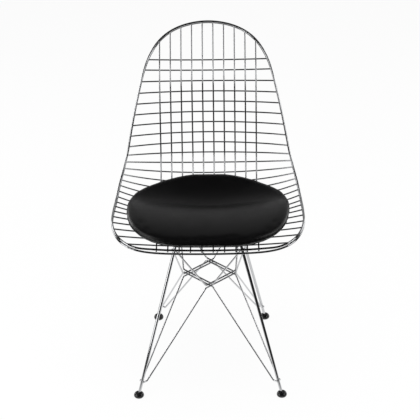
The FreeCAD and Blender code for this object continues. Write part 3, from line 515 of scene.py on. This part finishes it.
class CHAIR_OT_mould_glides(bpy.types.Operator):
    """Give the tilting feet their moulded nylon finish"""

    bl_idname = "chair.mould_glides"
    bl_label = "Mould feet"

    def execute(self, context):
        settings = context.scene.chair_glides
        nylon = worn_material("black nylon", settings.nylon, settings.roughness,
                              cloud_depth=0.08, metallic=0.0, grain=1800.0, bump=0.06)
        for name in GLIDES:
            assign(name, nylon)
        return {"FINISHED"}


# Seat pad
def merged_copy(node_name, name):
    """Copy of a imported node's mesh with its loose triangles joined."""
    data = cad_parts[node_name].data.copy()
    data.name = name
    mesh = bmesh.new()
    mesh.from_mesh(data)
    bmesh.ops.remove_doubles(mesh, verts=mesh.verts, dist=MERGE)
    mesh.to_mesh(data)
    mesh.free()
    piece = bpy.data.objects.new(name, data)
    bpy.context.scene.collection.objects.link(piece)
    return piece


def apply_modifiers(piece):
    """Keeps the shape that the modifiers make, and removes them."""
    graph = bpy.context.evaluated_depsgraph_get()
    shaped = bpy.data.meshes.new_from_object(piece.evaluated_get(graph))
    piece.modifiers.clear()
    old = piece.data
    piece.data = shaped
    bpy.data.meshes.remove(old)


def relax(piece, passes):
    """Evens out a piece's surface."""
    mesh = bmesh.new()
    mesh.from_mesh(piece.data)
    for _ in range(passes):
        bmesh.ops.smooth_vert(mesh, verts=mesh.verts, factor=SMOOTHING,
                              use_axis_x=True, use_axis_y=True, use_axis_z=True)
    mesh.to_mesh(piece.data)
    mesh.free()


def shape_foam(piece, settings):
    """Even grid over the foam, a little inside its space, with its edge rounded."""
    grid = piece.modifiers.new("grid", "REMESH")
    grid.mode = "VOXEL"
    grid.voxel_size = settings.voxel
    apply_modifiers(piece)
    relax(piece, settings.edge_passes)
    for vertex in piece.data.vertices:
        vertex.co -= vertex.normal * settings.slack


def press_seat(piece, settings):
    """Shallow sitting hollow in the pad's upper side."""
    for vertex in piece.data.vertices:
        aside = vertex.co.x / settings.hollow_half_width
        along = abs(vertex.co.y + settings.hollow_ahead) / settings.hollow_reach
        if vertex.normal.z > TOP_SIDE and along < 1.0:
            share = math.exp(-aside * aside) * (1.0 - along) ** HOLLOW_POWER
            vertex.co.z -= settings.hollow_depth * share


def fill_cover(piece, settings):
    """Blows up the cover with its filling, and caps how far each point moves."""
    rest = [vertex.co.copy() for vertex in piece.data.vertices]
    cloth = piece.modifiers.new("filling", "CLOTH")
    cloth.settings.quality = 6
    cloth.settings.mass = 0.4
    cloth.settings.tension_stiffness = 30.0
    cloth.settings.compression_stiffness = 30.0
    cloth.settings.shear_stiffness = 12.0
    cloth.settings.bending_stiffness = 4.0
    cloth.settings.use_pressure = True
    cloth.settings.uniform_pressure_force = settings.pressure
    cloth.settings.effector_weights.gravity = 0.0
    cloth.collision_settings.use_collision = False
    scene = bpy.context.scene
    for step in range(1, SIM_STEPS + 1):
        scene.frame_set(step)
    apply_modifiers(piece)
    scene.frame_set(1)
    for vertex, start in zip(piece.data.vertices, rest):
        move = vertex.co - start
        if move.length > settings.travel:
            vertex.co = start + move * (settings.travel / move.length)


def fit_to_space(piece, space, settings):
    """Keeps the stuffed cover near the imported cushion, and its underside off the board."""
    for vertex in piece.data.vertices:
        found, place, normal, _face = space.closest_point_on_mesh(vertex.co)
        if not found:
            raise RuntimeError("the cover lies nowhere near its packed cushion")
        height = (vertex.co - place).dot(normal)
        proud = settings.proud if normal.z > UNDERSIDE else 0.0
        vertex.co = place + normal * max(-settings.slack, min(height, proud))


def sew_welt(cover, settings):
    """Piped welt where the top cover meets the underside, just below the pad's widest line."""
    points = [vertex.co.copy() for vertex in cover.data.vertices]
    middle = average(points)
    sectors = [[] for _ in range(WELT_POINTS)]
    for point in points:
        turn = math.atan2(point.y - middle.y, point.x - middle.x) / math.tau
        sectors[math.floor(turn * WELT_POINTS) % WELT_POINTS].append(point)
    rim = []
    for sector in sectors:
        edge = max((point - middle).xy.length for point in sector) - settings.rim_band
        widest = average([point for point in sector if (point - middle).xy.length > edge])
        inward = (middle - widest).xy.normalized().to_3d()
        rim.append(widest + inward * settings.welt_inset - Vector((0.0, 0.0, settings.welt_drop)))
    line = bpy.data.curves.new("seat_pad_welt", "CURVE")
    line.dimensions = "3D"
    line.bevel_depth = settings.welt_radius
    line.bevel_resolution = 3
    spline = line.splines.new("NURBS")
    spline.points.add(len(rim) - 1)
    for index, place in enumerate(rim):
        spline.points[index].co = (*place, 1.0)
    spline.use_cyclic_u = True
    spline.order_u = 4
    spline.resolution_u = 3
    drawn = bpy.data.objects.new("welt_line", line)
    bpy.context.scene.collection.objects.link(drawn)
    graph = bpy.context.evaluated_depsgraph_get()
    data = bpy.data.meshes.new_from_object(drawn.evaluated_get(graph))
    bpy.data.objects.remove(drawn)
    welt = bpy.data.objects.new("seat_pad_welt", data)
    bpy.context.scene.collection.objects.link(welt)
    return welt


class CHAIR_OT_stuff_pad(bpy.types.Operator):
    """Make the stuffed leather seat pad in the space of its packed cushion"""

    bl_idname = "chair.stuff_pad"
    bl_label = "Stuff seat pad"

    def execute(self, context):
        settings = context.scene.chair_pad
        pad = merged_copy("pad_cushion", "seat_pad_leather")
        space = merged_copy("pad_cushion", "pad_space")
        shape_foam(pad, settings)
        fill_cover(pad, settings)
        fit_to_space(pad, space, settings)
        press_seat(pad, settings)
        relax(pad, settings.cover_passes)
        bpy.data.objects.remove(space)
        welt = sew_welt(pad, settings)
        soft = pad.modifiers.new("soft", "SUBSURF")
        soft.levels = 1
        soft.render_levels = 1
        leather = leather_material(settings)
        for piece in (pad, welt):
            finish_smooth(piece)
            piece.data.materials.clear()
            piece.data.materials.append(leather)
            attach(piece, "seat_pad")
        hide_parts("pad_cushion")
        assign("pad_base", worn_material("black board", (0.012, 0.012, 0.012), 0.62,
                                         cloud_depth=0.1, metallic=0.0, grain=900.0, bump=0.2))
        assign("pad_clips", worn_material("clip plastic", (0.01, 0.01, 0.01), 0.4,
                                          cloud_depth=0.05, metallic=0.0, grain=900.0, bump=0.1))
        return {"FINISHED"}


# Studio
def sky_band(tree, source, edges, levels):
    """Level that eases from one value to another between two limits of a source."""
    node = add_node(tree, "ShaderNodeMapRange", set_interpolation_type="SMOOTHSTEP")
    node.inputs["From Min"].default_value, node.inputs["From Max"].default_value = edges
    node.inputs["To Min"].default_value, node.inputs["To Max"].default_value = levels
    tree.links.new(source, node.inputs["Value"])
    return node.outputs["Result"]


def combine(tree, operation, first, second):
    """Sum, product or other result of two values, each a number or an output."""
    node = add_node(tree, "ShaderNodeMath", set_operation=operation)
    for socket, source in zip(node.inputs, (first, second)):
        if isinstance(source, float):
            socket.default_value = source
        else:
            tree.links.new(source, socket)
    return node.outputs[0]


def shows_background(tree):
    """1 for a ray that metal or glass sends on."""
    path = tree.nodes.new("ShaderNodeLightPath")
    return combine(tree, "ADD", path.outputs["Is Glossy Ray"], path.outputs["Is Transmission Ray"])


def world_light(settings):
    """Room with a white wall behind, dark in front and overhead; straight views of it are white."""
    world = bpy.data.worlds.new("studio")
    bpy.context.scene.world = world
    world.use_nodes = True
    tree = world.node_tree
    tree.nodes.clear()
    out = tree.nodes.new("ShaderNodeOutputWorld")
    direction = tree.nodes.new("ShaderNodeTexCoord")
    split = tree.nodes.new("ShaderNodeSeparateXYZ")
    tree.links.new(direction.outputs["Generated"], split.inputs["Vector"])
    low = sky_band(tree, split.outputs["Z"], WALL_TOP, (1.0, 0.0))
    behind = sky_band(tree, split.outputs["Y"], WALL_SIDES, (0.0, 1.0))
    wall = combine(tree, "MULTIPLY", low, behind)
    shed = combine(tree, "MULTIPLY", wall, settings.wall_level)
    grade = sky_band(tree, split.outputs["Z"], WALL_FOOT, (1.0, settings.wall_grey))
    level = combine(tree, "ADD", shed, settings.room_level)
    room = tree.nodes.new("ShaderNodeBackground")
    room.inputs["Color"].default_value = WHITE
    tree.links.new(level, room.inputs["Strength"])
    white = add_node(tree, "ShaderNodeBackground", Strength=1.0)
    white.inputs["Color"].default_value = WHITE
    path = tree.nodes.new("ShaderNodeLightPath")
    strength = combine(tree, "MAXIMUM", path.outputs["Is Camera Ray"], grade)
    tree.links.new(strength, white.inputs["Strength"])
    mirrored = combine(tree, "MULTIPLY", shows_background(tree), wall)
    share = combine(tree, "MAXIMUM", path.outputs["Is Camera Ray"], mirrored)
    mix = tree.nodes.new("ShaderNodeMixShader")
    tree.links.new(share, mix.inputs["Fac"])
    tree.links.new(room.outputs[0], mix.inputs[1])
    tree.links.new(white.outputs[0], mix.inputs[2])
    tree.links.new(mix.outputs[0], out.inputs["Surface"])


def lay_floor(settings):
    """Pale floor, well past the picture's edges; metal shows a white sweep on a dark floor."""
    mesh = bmesh.new()
    bmesh.ops.create_grid(mesh, x_segments=2, y_segments=2, size=FLOOR_HALF_WIDTH)
    data = bpy.data.meshes.new("floor")
    mesh.to_mesh(data)
    mesh.free()
    floor = bpy.data.objects.new("floor", data)
    bpy.context.scene.collection.objects.link(floor)
    material, tree, shader = new_material("white floor")
    shader.inputs["Base Color"].default_value = FLOOR_COLOUR
    shader.inputs["Roughness"].default_value = 0.9
    shader.inputs["Specular IOR Level"].default_value = 0.0
    split = tree.nodes.new("ShaderNodeSeparateXYZ")
    tree.links.new(object_coordinates(tree), split.inputs["Vector"])
    aside = add_node(tree, "ShaderNodeMath", set_operation="ABSOLUTE")
    tree.links.new(split.outputs["X"], aside.inputs[0])
    edges = (settings.sweep_half_width, settings.sweep_half_width + settings.sweep_fade)
    wide = sky_band(tree, aside.outputs[0], edges, (1.0, 0.0))
    edges = (-settings.sweep_ahead - settings.sweep_fade, -settings.sweep_ahead)
    deep = sky_band(tree, split.outputs["Y"], edges, (0.0, 1.0))
    sweep = combine(tree, "MULTIPLY", wide, deep)
    far = sky_band(tree, split.outputs["Y"], SWEEP_END, (1.0, settings.wall_grey))
    sweep = combine(tree, "MULTIPLY", sweep, far)
    sweep = combine(tree, "MAXIMUM", sweep, settings.far_floor)
    mirrored = tree.nodes.new("ShaderNodeEmission")
    tree.links.new(sweep, mirrored.inputs["Strength"])
    seen_in_metal = tree.nodes.new("ShaderNodeMixShader")
    tree.links.new(shows_background(tree), seen_in_metal.inputs["Fac"])
    tree.links.new(shader.outputs[0], seen_in_metal.inputs[1])
    tree.links.new(mirrored.outputs[0], seen_in_metal.inputs[2])
    white = add_node(tree, "ShaderNodeEmission", Strength=1.0)
    path = tree.nodes.new("ShaderNodeLightPath")
    share = combine(tree, "MULTIPLY", path.outputs["Is Camera Ray"], settings.backdrop_share)
    mix = tree.nodes.new("ShaderNodeMixShader")
    tree.links.new(share, mix.inputs["Fac"])
    tree.links.new(seen_in_metal.outputs[0], mix.inputs[1])
    tree.links.new(white.outputs[0], mix.inputs[2])
    tree.links.new(mix.outputs[0], tree.nodes["Material Output"].inputs["Surface"])
    data.materials.append(material)


def add_softbox(name, place, aim, width, height, power, in_metal):
    """Soft lamp; one that metal doesn't show only lights matt surfaces."""
    data = bpy.data.lights.new(name, "AREA")
    data.shape = "RECTANGLE"
    data.size = width
    data.size_y = height
    data.energy = power
    lamp = bpy.data.objects.new(name, data)
    lamp.location = place
    lamp.rotation_euler = (Vector(aim) - Vector(place)).to_track_quat("-Z", "Y").to_euler()
    lamp.visible_glossy = in_metal
    lamp.visible_camera = False
    bpy.context.scene.collection.objects.link(lamp)


def add_camera(settings):
    """Camera at the photograph's own place, from its turn, height, roll and distance."""
    azimuth, elevation = settings.azimuth, settings.elevation
    back = Vector((math.sin(azimuth) * math.cos(elevation),
                   -math.cos(azimuth) * math.cos(elevation), math.sin(elevation)))
    level = (-back).cross(Vector((0.0, 0.0, 1.0))).normalized()
    upright = level.cross(-back)
    right = math.cos(settings.roll) * level + math.sin(settings.roll) * upright
    up = math.cos(settings.roll) * upright - math.sin(settings.roll) * level
    place = Vector((0.0, -settings.aim_ahead, settings.aim_height)) + back * settings.distance
    data = bpy.data.cameras.new("camera")
    data.sensor_width = SENSOR_WIDTH
    data.lens = SENSOR_WIDTH * settings.focal_pixels / PICTURE_WIDTH
    data.shift_x = -settings.offset_right / PICTURE_WIDTH
    data.shift_y = settings.offset_down / PICTURE_WIDTH
    data.clip_end = 100.0
    camera = bpy.data.objects.new("camera", data)
    turn = Matrix((right, up, back)).transposed().to_4x4()
    camera.matrix_world = Matrix.Translation(place) @ turn
    bpy.context.scene.collection.objects.link(camera)
    bpy.context.scene.camera = camera


class CHAIR_OT_set_studio(bpy.types.Operator):
    """Set the camera, the pale floor and the soft lights"""

    bl_idname = "chair.set_studio"
    bl_label = "Set studio"

    def execute(self, context):
        settings = context.scene.chair_studio
        add_camera(settings)
        world_light(settings)
        lay_floor(settings)
        for lamp in SOFTBOXES:
            add_softbox(*lamp)
        context.scene.view_settings.view_transform = "Standard"
        return {"FINISHED"}


class CHAIR_PT_panel(bpy.types.Panel):
    """Steps that dress the chair"""

    bl_idname = "CHAIR_PT_panel"
    bl_label = "Wire Mesh Chair"
    bl_space_type = "VIEW_3D"
    bl_region_type = "UI"
    bl_category = "Wire Chair"

    def draw(self, context):
        for operator in OPERATORS:
            self.layout.operator(operator.bl_idname)
        for name in SETTINGS:
            group = getattr(context.scene, name)
            box = self.layout.box()
            for key in group.__annotations__:
                box.prop(group, key)


OPERATORS = [CHAIR_OT_set_studio, CHAIR_OT_plate_wires, CHAIR_OT_weld_beads, CHAIR_OT_mould_glides,
             CHAIR_OT_stuff_pad]
SETTINGS = {
    "chair_plating": PlatingSettings,
    "chair_pad": PadSettings,
    "chair_glides": GlideSettings,
    "chair_studio": StudioSettings,
}


def register():
    for group in SETTINGS.values():
        bpy.utils.register_class(group)
    for operator in OPERATORS:
        bpy.utils.register_class(operator)
    bpy.utils.register_class(CHAIR_PT_panel)
    for name, group in SETTINGS.items():
        setattr(bpy.types.Scene, name, PointerProperty(type=group))


def unregister():
    for name in SETTINGS:
        delattr(bpy.types.Scene, name)
    bpy.utils.unregister_class(CHAIR_PT_panel)
    for operator in reversed(OPERATORS):
        bpy.utils.unregister_class(operator)
    for group in reversed(SETTINGS.values()):
        bpy.utils.unregister_class(group)


def main():
    register()
    bpy.ops.chair.set_studio()
    bpy.ops.chair.plate_wires()
    bpy.ops.chair.weld_beads()
    bpy.ops.chair.mould_glides()
    bpy.ops.chair.stuff_pad()


if __name__ == "__main__":
    main()
